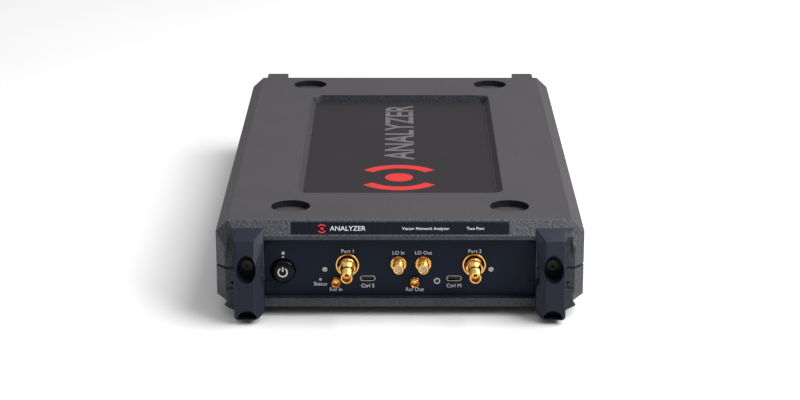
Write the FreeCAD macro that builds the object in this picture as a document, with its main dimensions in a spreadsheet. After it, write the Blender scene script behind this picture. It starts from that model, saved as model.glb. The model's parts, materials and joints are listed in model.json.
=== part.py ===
"""Two-port compact vector network analyzer, built as separate pieces.

Millimetres, +Z up.  The origin is the middle of the footprint on the table;
the connectors face -Y and the fan and power inlet face +Y.
"""
import FreeCAD, Part
import math
import os
import types

import Sketcher

Vector = FreeCAD.Vector
Rotation = FreeCAD.Rotation

# Driving sizes in millimetres.  Each becomes one cell of the sheet, under the same name.
SIZES = {
    # casing
    "body_half": 108.0,
    "body_top": 57.7,
    "foot_high": 3.5,
    "seam_level": 30.4,
    "front_face": -170.9,
    "brow_line": -164.0,
    "tail_line": 174.9,
    "rear_face": 179.0,
    "wall": 2.5,
    "top_bevel_wide": 7.5,
    "top_bevel_high": 6.94,
    "low_bevel_wide": 10.7,
    "low_bevel_high": 8.44,
    "cheek_taper": 5.5,
    "brow_drop": 7.8,
    "chin_rise": 2.7,
    "rear_taper": 4.0,
    "seam_gap": 1.6,
    "seam_deep": 1.3,
    # front and rear panels
    "panel_deep": 5.7,
    "panel_thick": 2.0,
    "panel_half": 90.0,
    "mouth_half": 79.6,
    "mouth_low": 11.2,
    "rear_mouth_low": 9.6,
    "mouth_high": 47.4,
    # stacking recesses and feet
    "stack_half_x": 65.24,
    "stack_front": -137.7,
    "stack_rear": 154.9,
    "stack_radius": 11.8,
    "stack_deep": 4.2,
    "foot_radius": 11.4,
    # label window in the top
    "window_half": 62.9,
    "window_front": -111.2,
    "window_rear": 124.3,
    "window_deep": 5.0,
    "window_slope": 3.0,
    "window_corner": 7.0,
    # corner posts
    "post_outer": 96.3,
    "post_inner": 81.2,
    "post_bulge": 79.4,
    "post_flare": 6.4,
    "post_tip": -188.0,
    "post_ridge": 33.5,
    "post_low": 2.8,
    "post_bore_level": 33.9,
    "post_bore_tall": 7.9,
    "post_bore_wide": 5.65,
    "post_drain_radius": 5.5,
    "rear_post_tip": 188.9,
    # connector places on the panel
    "port_one_x": -30.9,
    "port_two_x": 43.6,
    "port_level": 30.1,
    "lo_in_x": -0.9,
    "lo_out_x": 13.7,
    "lo_level": 30.7,
    "ref_in_x": -37.7,
    "ref_out_x": 8.7,
    "ref_level": 19.7,
    "usb_one_x": -19.0,
    "usb_two_x": 31.8,
    "usb_level": 21.8,
    "button_x": -68.8,
    "button_level": 26.6,
    "button_radius": 7.15,
    "button_travel": 1.5,
    # boards and cooling
    "tray_level": 6.0,
    "board_level": 14.0,
    "board_thick": 1.6,
    "fan_x": -45.0,
    "fan_level": 28.3,
    "fan_half": 20.0,
    "fan_thick": 15.0,
    "fan_front": 156.8,
}


class Size:
    """A number of millimetres together with the sheet expression that gives it."""

    def __init__(self, value, words):
        self.value = value
        self.words = words

    def joined(self, sign, other, value):
        return Size(value, "(%s %s %s)" % (self.words, sign, words_of(other)))

    def __add__(self, other):
        return self.joined("+", other, self.value + value_of(other))

    __radd__ = __add__

    def __sub__(self, other):
        return self.joined("-", other, self.value - value_of(other))

    def __rsub__(self, other):
        return Size(value_of(other) - self.value, "(%s - %s)" % (words_of(other), self.words))

    def __mul__(self, other):
        return self.joined("*", other, self.value * value_of(other))

    __rmul__ = __mul__

    def __truediv__(self, other):
        return self.joined("/", other, self.value / value_of(other))

    def __neg__(self):
        return Size(-self.value, "(0 - %s)" % self.words)


def value_of(size):
    return size.value if isinstance(size, Size) else float(size)


def words_of(size):
    return size.words if isinstance(size, Size) else "(%g)" % size


doc = FreeCAD.newDocument("network_analyzer")


def fill_sheet():
    """Write the driving sizes into the sheet and give them back as Size values."""
    sheet = doc.addObject("Spreadsheet::Sheet", "sizes")
    dim = types.SimpleNamespace()
    for row, (name, value) in enumerate(SIZES.items(), start=1):
        sheet.set("A%d" % row, name)
        sheet.set("B%d" % row, str(value))
        sheet.setAlias("B%d" % row, name)
        setattr(dim, name, Size(value, "sizes." + name))
    doc.recompute()
    return dim


dim = fill_sheet()
panel_y = dim.front_face + dim.panel_deep
nodes = []


# ---------------------------------------------------------------- building blocks

def bind(item, **sizes):
    """Tie properties of a document object to sheet expressions."""
    for name, size in sizes.items():
        item.setExpression(name, words_of(size))


def place(item, x, y, z, turn=None):
    """Put an object at a point given in sheet terms, turned by a fixed rotation."""
    if turn is not None:
        item.Placement = FreeCAD.Placement(Vector(), turn)
    item.setExpression("Placement.Base.x", words_of(x))
    item.setExpression("Placement.Base.y", words_of(y))
    item.setExpression("Placement.Base.z", words_of(z))
    return item


TURN_TO = {
    "Y": Rotation(Vector(1, 0, 0), -90),
    "Z": Rotation(),
}


def box(x_range, y_range, z_range):
    item = doc.addObject("Part::Box", "block")
    bind(item, Length=x_range[1] - x_range[0], Width=y_range[1] - y_range[0], Height=z_range[1] - z_range[0])
    return place(item, x_range[0], y_range[0], z_range[0])


def rod(axis, radius, length, x, y, z):
    """Round bar that starts at a point and runs along +axis."""
    item = doc.addObject("Part::Cylinder", "bar")
    bind(item, Radius=radius, Height=length)
    return place(item, x, y, z, TURN_TO[axis])


def cone(axis, radius_start, radius_end, length, x, y, z):
    item = doc.addObject("Part::Cone", "taper")
    bind(item, Radius1=radius_start, Radius2=radius_end, Height=length)
    return place(item, x, y, z, TURN_TO[axis])


def hexagon(axis, across_flats, length, x, y, z):
    item = doc.addObject("Part::Prism", "hexagon")
    item.Polygon = 6
    bind(item, Circumradius=across_flats / math.sqrt(3), Height=length)
    return place(item, x, y, z, TURN_TO[axis])


def fused(*pieces):
    item = doc.addObject("Part::MultiFuse", "joined")
    item.Shapes = list(pieces)
    return item


def cut(base, *tools):
    item = doc.addObject("Part::Cut", "cut")
    item.Base = base
    item.Tool = tools[0] if len(tools) == 1 else fused(*tools)
    return item


def common(first, second):
    item = doc.addObject("Part::MultiCommon", "shared")
    item.Shapes = [first, second]
    return item


def grouped(pieces):
    """Several loose solids, kept together as one node."""
    item = doc.addObject("Part::Compound", "group")
    item.Links = list(pieces)
    return item


def mirrored(piece):
    """The same piece on the other side of the X = 0 plane."""
    item = doc.addObject("Part::Mirroring", "mirror")
    item.Source = piece
    item.Normal = Vector(1, 0, 0)
    return item


def tube(axis, outer, inner, length, x, y, z):
    return cut(rod(axis, outer, length, x, y, z), rod(axis, inner, length, x, y, z))


def node(label, item):
    """Name a finished piece.  The label is also the name of its file."""
    item.Label = label
    nodes.append(item)
    return item


def sketch(body, role, offset, outline):
    """Closed polygon on one of the body's own origin planes, every corner bound to the sheet."""
    item = body.newObject("Sketcher::SketchObject", "outline")
    plane = next(feature for feature in body.Origin.OriginFeatures if feature.Role == role)
    item.AttachmentSupport = (plane, [""])
    item.MapMode = "FlatFace"
    item.setExpression("AttachmentOffset.Base.z", words_of(offset))
    corners = [Vector(value_of(across), value_of(up), 0) for across, up in outline]
    for index, corner in enumerate(corners):
        item.addGeometry(Part.LineSegment(corner, corners[(index + 1) % len(corners)]), False)
    for index in range(len(corners)):
        following = (index + 1) % len(corners)
        item.addConstraint(Sketcher.Constraint("Coincident", index, 2, following, 1))
    for index, corner in enumerate(outline):
        for kind, size in zip(("DistanceX", "DistanceY"), corner):
            number = item.addConstraint(Sketcher.Constraint(kind, -1, 1, index, 1, value_of(size)))
            item.setExpression("Constraints[%d]" % number, words_of(size))
    return item


def prism(role, start, end, outline):
    """Solid between two planes; role XZ_Plane runs along +Y, YZ_Plane along +X, XY_Plane along +Z."""
    body = doc.addObject("PartDesign::Body", "body")
    # The XZ plane's own normal is -Y, so its sketch sits at the far end.
    profile = sketch(body, role, -end if role == "XZ_Plane" else start, outline)
    pad = body.newObject("PartDesign::Pad", "pad")
    pad.Profile = profile
    bind(pad, Length=end - start)
    return body


def loft(sections):
    """Straight-sided solid through (place along Y, outline across X and Z) sections."""
    body = doc.addObject("PartDesign::Body", "body")
    profiles = [sketch(body, "XZ_Plane", -along, outline) for along, outline in sections]
    skin = body.newObject("PartDesign::AdditiveLoft", "loft")
    skin.Profile = profiles[0]
    skin.Sections = profiles[1:]
    skin.Ruled = True
    return body


def flat_face(*corners):
    return Part.Face(Part.makePolygon(list(corners) + [corners[0]]))


def faceted_bar(sections):
    """Bar along X through (place along X, outline across Y and Z) sections, its sides split into triangles."""
    rings = [[Vector(value_of(x), value_of(y), value_of(z)) for y, z in outline] for x, outline in sections]
    faces = [flat_face(*rings[0]), flat_face(*rings[-1])]
    for near, far in zip(rings, rings[1:]):
        for index in range(len(near)):
            following = (index + 1) % len(near)
            faces.append(flat_face(near[index], far[index], far[following]))
            faces.append(flat_face(near[index], far[following], near[following]))
    shape = Part.makeSolid(Part.makeShell(faces))
    if shape.Volume < 0:
        shape.reverse()
    item = doc.addObject("Part::Feature", "bar")
    item.Shape = shape
    return item


def turned(outline, x, y, z):
    """Solid of revolution about the Y direction; outline is (radius, distance along -Y) from a point."""
    body = doc.addObject("PartDesign::Body", "body")
    profile = sketch(body, "XY_Plane", 0, outline)
    turn = body.newObject("PartDesign::Revolution", "turned")
    turn.Profile = profile
    turn.ReferenceAxis = (profile, ["V_Axis"])
    turn.Angle = 360
    return place(body, x, y, z, Rotation(Vector(1, 0, 0), 180))


def plate_with_round_corners(half, front, rear, corner, level, thick):
    """Flat sheet, symmetric about X = 0, read from the sheet's numbers."""
    flat = Part.Face(rounded_wire(half, front, rear, corner, level))
    item = doc.addObject("Part::Feature", "sheet")
    item.Shape = flat.extrude(Vector(0, 0, thick))
    return item


def rounded_wire(half, front, rear, corner, level):
    """Rectangle with round corners in a level plane."""
    bend = corner * math.sqrt(0.5)
    edges = []
    turns = [(half, rear, 1, 1), (-half, rear, -1, 1), (-half, front, -1, -1), (half, front, 1, -1)]
    arcs = []
    for x, y, side, end in turns:
        middle = Vector(x - side * (corner - bend), y - end * (corner - bend), level)
        on_side = Vector(x, y - end * corner, level)
        on_end = Vector(x - side * corner, y, level)
        first, last = (on_side, on_end) if side == end else (on_end, on_side)
        arcs.append((first, middle, last))
    for index, (first, middle, last) in enumerate(arcs):
        edges.append(Part.Arc(first, middle, last).toShape())
        edges.append(Part.LineSegment(last, arcs[(index + 1) % len(arcs)][0]).toShape())
    return Part.Wire(edges)


# ---------------------------------------------------------------- casing

def casing_section(taper, drop, rise, inset=0.0):
    """Eight-sided outline of the casing across X and Z, pulled in from its full size."""
    half = dim.body_half - taper - inset
    top = dim.body_top - drop - inset
    low = dim.foot_high + rise + inset
    # A bevel moved inwards by the inset keeps its slope but ends nearer the flats.
    trim = inset * 0.42
    right = [
        (half - dim.low_bevel_wide + trim, low),
        (half, low + dim.low_bevel_high - trim),
        (half, top - dim.top_bevel_high + trim),
        (half - dim.top_bevel_wide + trim, top),
    ]
    left = [(-across, up) for across, up in reversed(right)]
    return right + left


def casing_blank():
    """The outside of both covers together: full section with tapered ends."""
    return loft([
        (dim.front_face, casing_section(dim.cheek_taper, dim.brow_drop, dim.chin_rise)),
        (dim.brow_line, casing_section(0, 0, 0)),
        (dim.tail_line, casing_section(0, 0, 0)),
        (dim.rear_face, casing_section(dim.rear_taper, dim.rear_taper, dim.rear_taper)),
    ])


def cavity():
    return prism("XZ_Plane", panel_y, dim.tail_line - 0.9, casing_section(0, 0, 0, inset=2.5))


def mouth(start, end, low):
    """Panel opening through an end wall of the casing."""
    return box((-dim.mouth_half, dim.mouth_half), (start, end), (low, dim.mouth_high))


def seam_groove():
    """Ring that is cut along the joint between the covers, as deep as seam_deep."""
    level = (dim.seam_level - dim.seam_gap / 2, dim.seam_level + dim.seam_gap / 2)
    reach = dim.body_half + 5
    outside = box((-reach, reach), (dim.front_face - 5, dim.rear_face + 5), level)
    side = dim.body_half - dim.seam_deep
    front_side = side - dim.cheek_taper
    rear_side = side - dim.rear_taper
    front = dim.front_face + dim.seam_deep
    rear = dim.rear_face - dim.seam_deep
    core = prism("XY_Plane", level[0], level[1], [
        (-front_side, front), (front_side, front), (side, dim.brow_line), (side, dim.tail_line),
        (rear_side, rear), (-rear_side, rear), (-side, dim.tail_line), (-side, dim.brow_line),
    ])
    return cut(outside, core)


def stack_places():
    for side in (-1, 1):
        for along in (dim.stack_front, dim.stack_rear):
            yield dim.stack_half_x * side, along


BOSS_X = 88.0
BOSS_ROWS = (-145.0, 5.0, 145.0)
BOSS_RADIUS = 4.0
SCREW_RADIUS = 1.5
SCREW_SINK = 3.2
VENT_COUNT = 12
VENT_START = 60.0
VENT_PITCH = 6.0
VENT_WIDE = 2.4
VENT_LEVELS = (16.0, 25.0)


def boss_places():
    for side in (-1, 1):
        for row in BOSS_ROWS:
            yield BOSS_X * side, row


def window_tool():
    """Space of the label window: sloping walls over a flat floor."""
    slope = SIZES["window_slope"]
    rim = rounded_wire(SIZES["window_half"], SIZES["window_front"], SIZES["window_rear"],
                       SIZES["window_corner"], SIZES["body_top"])
    floor = rounded_wire(SIZES["window_half"] - slope, SIZES["window_front"] + slope,
                         SIZES["window_rear"] - slope, SIZES["window_corner"] - slope,
                         SIZES["body_top"] - SIZES["window_deep"])
    item = doc.addObject("Part::Feature", "window_space")
    item.Shape = Part.makeLoft([floor, rim], True, True)
    return item


def strip_tool(half, near, far, sink):
    """Slab on the slanted brow; near and far are fractions of the way down it."""
    slope_y = dim.front_face - dim.brow_line
    first = (dim.brow_line + slope_y * near, dim.body_top - dim.brow_drop * near)
    last = (dim.brow_line + slope_y * far, dim.body_top - dim.brow_drop * far)
    return prism("YZ_Plane", -half, half, [
        (first[0], first[1] - sink[0]), (last[0], last[1] - sink[0]),
        (last[0], last[1] - sink[1]), (first[0], first[1] - sink[1]),
    ])


STRIP_HALF = 64.2
POST_SCREW_X = 89.0
CHEEK_EDGE = 100.8
SCOOP_LEVELS = (35.8, 48.6)
SCOOP_DEEP = 2.6
NOTCH_LEVELS = (18.4, 21.4)
LUG_THICK = 1.6
LUG_TOP = 17.4


def cheek_band(side):
    """Range of X outside a front post that its scoop and notch take up."""
    near = dim.post_outer - 1
    return (near, CHEEK_EDGE) if side > 0 else (-CHEEK_EDGE, -near)


def cheek_scoop(side):
    """Shallow wedge in the front of the top cover beside a post, deepest at its top."""
    low, high = SCOOP_LEVELS
    near, far = cheek_band(side)
    return prism("YZ_Plane", near, far, [
        (dim.front_face - 1, low), (dim.front_face, low), (dim.front_face + SCOOP_DEEP, high),
        (dim.front_face - 1, high),
    ])


def cheek_notch(side):
    """Small three-sided notch in the front of the bottom cover, over the lug."""
    low, high = NOTCH_LEVELS
    near = (dim.post_outer - 1) * side
    outline = [(near, low), ((CHEEK_EDGE - 0.8) * side, high), (near, high + 0.6)]
    return prism("XZ_Plane", dim.front_face - LUG_THICK - 1, dim.front_face + 2.4, outline)


def cheek_lug(side):
    """Thick pad of the bottom cover that backs the foot of a front post."""
    near = (dim.post_outer - 1) * side
    outline = [(near, 3.4), (102.4 * side, 7.0), (103.1 * side, 7.8), (101.6 * side, 9.8),
               (101.6 * side, LUG_TOP), (near, LUG_TOP)]
    return prism("XZ_Plane", dim.front_face - LUG_THICK, dim.front_face + 1, outline)


def post_screw_hole(side):
    return rod("Y", SCREW_RADIUS, 20, POST_SCREW_X * side, dim.front_face - 4, dim.post_ridge)


def build_covers():
    blank = casing_blank()
    reach = dim.body_half + 10
    length = (dim.front_face - 10, dim.rear_face + 10)
    upper = common(blank, box((-reach, reach), length, (dim.seam_level, dim.body_top + 1)))
    lower = common(blank, box((-reach, reach), length, (0, dim.seam_level)))
    inside = cavity()
    groove = seam_groove()
    front_mouth = mouth(dim.front_face - 1, panel_y, dim.mouth_low)
    rear_mouth = mouth(dim.tail_line - 2, dim.rear_face + 1, dim.rear_mouth_low)
    hole_left = post_screw_hole(-1)
    hole_right = post_screw_hole(1)

    # Top cover: hollow shell with wells under its recesses and bosses for the cover screws.
    shell = cut(upper, inside, groove)
    inner_top = dim.body_top - dim.wall
    rim = dim.wall
    wells = [box((-dim.window_half - rim, dim.window_half + rim),
                 (dim.window_front - rim, dim.window_rear + rim),
                 (dim.body_top - dim.window_deep - rim, inner_top + 0.5))]
    recesses = [window_tool(), strip_tool(STRIP_HALF, 0.09, 0.93, (-2.0, 0.9))]
    for x, y in stack_places():
        floor = dim.body_top - dim.stack_deep
        wells.append(rod("Z", dim.stack_radius + rim, inner_top - floor + 2.5, x, y, floor - 2))
        recesses.append(rod("Z", dim.stack_radius, dim.stack_deep + 1, x, y, floor))
    for x, y in boss_places():
        pillar = dim.body_top - dim.seam_level - 2
        wells.append(rod("Z", BOSS_RADIUS, pillar, x, y, dim.seam_level + 0.8))
        recesses.append(rod("Z", SCREW_RADIUS, 14, x, y, dim.seam_level))
    recesses += [cheek_scoop(-1), cheek_scoop(1), front_mouth, rear_mouth, hole_left, hole_right]
    node("top_cover", cut(fused(shell, *wells), *recesses))

    # Bottom cover: mirror-like shell with through holes for the cover screws and side vents.
    posts = []
    holes = []
    for x, y in boss_places():
        posts.append(rod("Z", BOSS_RADIUS, dim.seam_level - 0.8 - 5, x, y, 5))
        holes.append(rod("Z", SCREW_RADIUS, dim.seam_level, x, y, 0))
        holes.append(rod("Z", SCREW_SINK, dim.foot_high + 3.0, x, y, 0))
    for side in (-1, 1):
        wall_middle = dim.body_half * side
        for index in range(VENT_COUNT):
            start = VENT_START + index * VENT_PITCH
            holes.append(box((wall_middle - 5, wall_middle + 5), (start, start + VENT_WIDE), VENT_LEVELS))
    for side in (-1, 1):
        posts.append(cheek_lug(side))
        holes.append(cheek_notch(side))
    base = cut(lower, inside, groove)
    node("bottom_cover", cut(fused(base, *posts), *holes, front_mouth, rear_mouth, hole_left, hole_right))

    node("top_label_plate", plate_with_round_corners(
        SIZES["window_half"] - SIZES["window_slope"] - 0.5,
        SIZES["window_front"] + SIZES["window_slope"] + 0.5,
        SIZES["window_rear"] - SIZES["window_slope"] - 0.5,
        SIZES["window_corner"] - SIZES["window_slope"],
        SIZES["body_top"] - SIZES["window_deep"], 0.6))
    node("front_label_strip", strip_tool(STRIP_HALF - 0.3, 0.11, 0.91, (0.3, 0.9)))


FOOT_LIP = 0.8


def build_feet():
    feet = []
    for x, y in stack_places():
        lip = cone("Z", dim.foot_radius - FOOT_LIP, dim.foot_radius, FOOT_LIP, x, y, 0)
        feet.append(fused(lip, rod("Z", dim.foot_radius, dim.foot_high - FOOT_LIP, x, y, FOOT_LIP)))
    node("feet", grouped(feet))


COVER_SCREW_HEAD = 2.9
HEAD_THICK = 1.8
SOCKET_FLATS = 2.0


def build_cover_screws():
    screws = []
    start = dim.foot_high + 1.2
    for x, y in boss_places():
        head = rod("Z", COVER_SCREW_HEAD, HEAD_THICK, x, y, start)
        shank = rod("Z", SCREW_RADIUS, dim.seam_level + 6, x, y, start)
        slot = hexagon("Z", SOCKET_FLATS, 1.0, x, y, start)
        screws.append(cut(fused(head, shank), slot))
    node("cover_screws", grouped(screws))


# ---------------------------------------------------------------- corner posts

def post_profile(shrink):
    """Side view (Y, Z) of a front post; shrink moves its front back towards the casing."""
    low = dim.post_low
    return [
        (dim.front_face, dim.body_top - dim.brow_drop),
        (dim.front_face, low),
        (dim.post_tip + 3 + shrink, low),
        (dim.post_tip + 2 + shrink, low + 1.2),
        (dim.post_tip + shrink, dim.post_ridge),
        (dim.post_tip + 10 + shrink * 0.4, dim.body_top - 8.9 - shrink * 0.2),
        (dim.brow_line - 3.6, dim.body_top - 4.07),
    ]


def front_post():
    """Right-hand bumper post with a deep cored hole and a half-round drain at its foot."""
    flare = dim.post_outer + dim.post_flare
    rough = faceted_bar([
        (flare, post_profile(6.5)),
        (dim.post_outer - 1, post_profile(0.0)),
        (dim.post_bulge + 5.4, post_profile(0.0)),
        (dim.post_bulge, post_profile(6.0)),
    ])
    front_view = prism("XZ_Plane", dim.post_tip - 2, dim.brow_line + 2, [
        (dim.post_bulge + 3.4, dim.post_low), (dim.post_outer - 1.5, dim.post_low),
        (dim.post_outer, dim.post_low + 1.5), (dim.post_outer, 48.2), (dim.post_outer + 1.4, 50.6),
        (flare, 54.5), (dim.post_bulge, 54.5), (dim.post_inner, 24.6), (dim.post_bulge, 22.2),
        (dim.post_bulge, dim.post_low + 3.6),
    ])
    ellipse = doc.addObject("Part::Ellipse", "bore_outline")
    bind(ellipse, MajorRadius=dim.post_bore_tall, MinorRadius=dim.post_bore_wide)
    upright = Rotation(Vector(0, 0, 1), Vector(1, 0, 0), Vector(0, 1, 0), "XYZ")
    place(ellipse, POST_SCREW_X, dim.post_tip - 5, dim.post_bore_level, upright)
    bore = doc.addObject("Part::Extrusion", "bore")
    bore.Base = ellipse
    bore.Solid = True
    bore.DirMode = "Custom"
    bore.Dir = Vector(0, 1, 0)
    bind(bore, LengthFwd=dim.front_face - dim.post_tip + 5 - 2.5)
    sill = dim.post_low + 0.7
    drain_y = dim.post_tip - 2
    drain = common(rod("Y", dim.post_drain_radius, 13, POST_SCREW_X, drain_y, sill),
                   box((dim.post_bulge, dim.post_outer), (drain_y, drain_y + 13), (sill, sill + 10)))
    lug_room = cheek_lug(1)
    return cut(common(rough, front_view), bore, drain, lug_room, post_screw_hole(1))


REAR_POST_INNER = 82.7
REAR_POST_OUTER = 97.5
REAR_POST_CHAMFER = 1.5


def rear_post():
    """Right-hand rear post, level with the top of the casing."""
    tip = dim.rear_post_tip
    profile = [
        (dim.tail_line, dim.body_top), (tip - 2, dim.body_top), (tip, dim.body_top - 2),
        (tip, dim.post_low + 2), (tip - 2, dim.post_low), (dim.rear_face, dim.post_low),
        (dim.rear_face, dim.body_top - dim.rear_taper),
    ]
    side_view = prism("YZ_Plane", REAR_POST_INNER, REAR_POST_OUTER, profile)
    plan = prism("XY_Plane", 0, dim.body_top + 2, [
        (REAR_POST_INNER, dim.tail_line - 1), (REAR_POST_OUTER, dim.tail_line - 1), (REAR_POST_OUTER, tip - 2.8),
        (REAR_POST_OUTER - 3.3, tip), (REAR_POST_INNER + REAR_POST_CHAMFER, tip),
        (REAR_POST_INNER, tip - REAR_POST_CHAMFER),
    ])
    dish = rod("Y", 4.2, 8, 90, tip - 6, dim.post_ridge)
    return cut(common(side_view, plan), dish)


def build_posts():
    right = node("front_post_right", front_post())
    node("front_post_left", mirrored(right))
    rear_right = node("rear_post_right", rear_post())
    node("rear_post_left", mirrored(rear_right))
    screws = []
    for side in (-1, 1):
        x = POST_SCREW_X * side
        head = rod("Y", 3.2, 2.2, x, dim.front_face - 4.7, dim.post_ridge)
        shank = rod("Y", SCREW_RADIUS, 10, x, dim.front_face - 4.7, dim.post_ridge)
        drive = hexagon("Y", 2.5, 1.4, x, dim.front_face - 4.7, dim.post_ridge)
        screws.append(cut(fused(head, shank), drive))
    node("post_screws", grouped(screws))


# ---------------------------------------------------------------- front panel and its connectors

PORT_HOLE = 5.9
LO_HOLE = 3.4
LO_THREAD = 3.175
LO_SHANK = 2.75
REF_HOLE = 3.1
REF_SEAT = 2.9
REF_SHANK = 2.5
PANEL_SCREWS = ((-44.2, 27.6), (53.5, 27.6))
PANEL_SCREW_HEAD = 1.5
PANEL_SCREW_SHANK = 1.0
INSERT_PLACE = (21.8, 20.1)
LIGHT_PLACES = ((-68.6, 37.4, 1.0), (-68.7, 35.0, 0.6), (-46.9, 21.1, 0.8))


def usb_outline(grow, length, x, y, z):
    """Flat-oval bar of a USB-C receptacle, grown by a margin all round."""
    radius = 1.63 + grow
    reach = 4.47 - 1.63
    middle = box((x - reach, x + reach), (y, y + length), (z - radius, z + radius))
    return fused(middle, rod("Y", radius, length, x - reach, y, z), rod("Y", radius, length, x + reach, y, z))


def build_front_panel():
    thick = dim.panel_thick
    plate = box((-dim.panel_half, dim.panel_half), (panel_y, panel_y + thick), (7.0, 52.0))
    start = panel_y - 1
    deep = thick + 2
    holes = [rod("Y", dim.button_radius + 0.3, deep, dim.button_x, start, dim.button_level)]
    for x in (dim.port_one_x, dim.port_two_x):
        holes.append(rod("Y", PORT_HOLE, deep, x, start, dim.port_level))
    for x in (dim.lo_in_x, dim.lo_out_x):
        holes.append(rod("Y", LO_HOLE, deep, x, start, dim.lo_level))
    for x in (dim.ref_in_x, dim.ref_out_x):
        holes.append(rod("Y", REF_HOLE, deep, x, start, dim.ref_level))
    for x in (dim.usb_one_x, dim.usb_two_x):
        holes.append(usb_outline(0.1, deep, x, start, dim.usb_level))
    for x, z in PANEL_SCREWS:
        holes.append(rod("Y", PANEL_SCREW_SHANK, deep, x, start, z))
    holes.append(rod("Y", 1.9, deep, INSERT_PLACE[0], start, INSERT_PLACE[1]))
    for x, z, radius in LIGHT_PLACES:
        holes.append(rod("Y", radius, deep, x, start, z))
    for side in (-1, 1):
        holes.append(post_screw_hole(side))
    node("front_panel", cut(plate, *holes))

    latches = []
    for side in (-1, 1):
        edges = (75.2, 79.4) if side > 0 else (-79.4, -75.2)
        for low, high in ((11.9, 20.2), (35.8, 44.2)):
            latches.append(box(edges, (panel_y - 0.7, panel_y), (low, high)))
    node("panel_latches", grouped(latches))

    screws = []
    for x, z in PANEL_SCREWS:
        head = rod("Y", PANEL_SCREW_HEAD, 0.8, x, panel_y - 0.8, z)
        shank = rod("Y", PANEL_SCREW_SHANK, 6, x, panel_y - 0.8, z)
        screws.append(cut(fused(head, shank), hexagon("Y", 1.4, 0.6, x, panel_y - 0.8, z)))
    node("panel_screws", grouped(screws))
    x, z = INSERT_PLACE
    node("panel_insert", cut(rod("Y", 1.9, 5, x, panel_y, z), rod("Y", 1.2, 4, x, panel_y, z)))
    pipes = [rod("Y", radius, 9, x, panel_y - 0.3, z) for x, z, radius in LIGHT_PLACES]
    node("light_pipes", grouped(pipes))


def build_test_port(number, x):
    """Threaded test port: flange ring, stepped body and coupling collar; gives its bead and centre pin."""
    name = "port_%d_" % number
    z = dim.port_level
    node(name + "flange", tube("Y", 7.0, PORT_HOLE, 0.8, x, panel_y - 0.8, z))
    barrel = turned([
        (1.1, -14.0), (5.2, -14.0), (5.2, 3.2), (4.1, 4.4), (4.1, 7.4), (3.0, 8.6), (2.4, 9.4),
        (2.4, 19.6), (1.1, 19.6),
    ], x, panel_y, z)
    nut = cut(hexagon("Y", 9.0, 2.4, x, panel_y - 6.8, z), rod("Y", 4.1, 2.4, x, panel_y - 6.8, z))
    node(name + "body", fused(barrel, nut))
    collar = turned([
        (2.5, 14.6), (3.2, 14.6), (3.5, 15.0), (3.5, 23.3), (3.2, 23.7), (2.5, 23.7),
    ], x, panel_y, z)
    node(name + "collar", collar)
    bead = tube("Y", 1.1, 0.45, 32.0, x, panel_y - 18.4, z)
    pin = rod("Y", 0.45, 36.0, x, panel_y - 22.4, z)
    return bead, pin


def build_lo_port(label, x):
    """Bulkhead coax jack; gives its insulator and hollow contact."""
    z = dim.lo_level
    barrel = turned([
        (2.05, -14.0), (LO_SHANK, -14.0), (LO_SHANK, 2.6), (LO_THREAD, 2.6), (LO_THREAD, 10.1), (2.9, 10.5),
        (2.05, 10.5),
    ], x, panel_y, z)
    node(label + "_connector", barrel)
    insulator = tube("Y", 2.05, 0.64, 20.0, x, panel_y - 9.9, z)
    sleeve = cut(rod("Y", 0.64, 22, x, panel_y - 9.7, z), rod("Y", 0.4, 3, x, panel_y - 9.7, z))
    return insulator, sleeve


def build_ref_port(label, x):
    """Small push-on coax jack; gives its centre post."""
    z = dim.ref_level
    shell = turned([
        (2.1, -1.1), (2.1, 3.1), (2.5, 3.5), (REF_SEAT, 3.1), (REF_SEAT, 0.0), (REF_SHANK, 0.0),
        (REF_SHANK, -9.0), (0.9, -9.0), (0.9, -1.1),
    ], x, panel_y, z)
    node(label + "_connector", shell)
    return rod("Y", 0.9, 9.9, x, panel_y - 0.9, z)


def build_usb_port(label, x):
    """Receptacle shell; gives the thin tongue that carries its contacts."""
    z = dim.usb_level
    length = 7.3
    start = panel_y - 0.3
    shell = cut(usb_outline(0.0, length, x, start, z), usb_outline(-0.3, length - 0.6, x, start, z))
    node(label + "_shell", shell)
    return box((x - 3.3, x + 3.3), (start + 0.8, start + length - 0.6), (z - 0.35, z + 0.35))


def build_connectors():
    ports = [build_test_port(1, dim.port_one_x), build_test_port(2, dim.port_two_x)]
    node("port_beads", grouped(bead for bead, pin in ports))
    node("port_pins", grouped(pin for bead, pin in ports))
    jacks = [build_lo_port("lo_in", dim.lo_in_x), build_lo_port("lo_out", dim.lo_out_x)]
    node("lo_insulators", grouped(insulator for insulator, sleeve in jacks))
    node("lo_contacts", grouped(sleeve for insulator, sleeve in jacks))
    nuts = []
    for x in (dim.lo_in_x, dim.lo_out_x):
        nut = hexagon("Y", 8.0, 2.2, x, panel_y - 2.6, dim.lo_level)
        washer = rod("Y", 4.6, 0.4, x, panel_y - 0.4, dim.lo_level)
        nuts.append(cut(fused(nut, washer), rod("Y", LO_SHANK + 0.05, 4, x, panel_y - 3, dim.lo_level)))
    node("lo_nuts", grouped(nuts))
    posts = [build_ref_port("ref_in", dim.ref_in_x), build_ref_port("ref_out", dim.ref_out_x)]
    node("ref_contacts", grouped(posts))
    tongues = [build_usb_port("control_usb_1", dim.usb_one_x), build_usb_port("control_usb_2", dim.usb_two_x)]
    node("control_usb_tongues", grouped(tongues))


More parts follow.
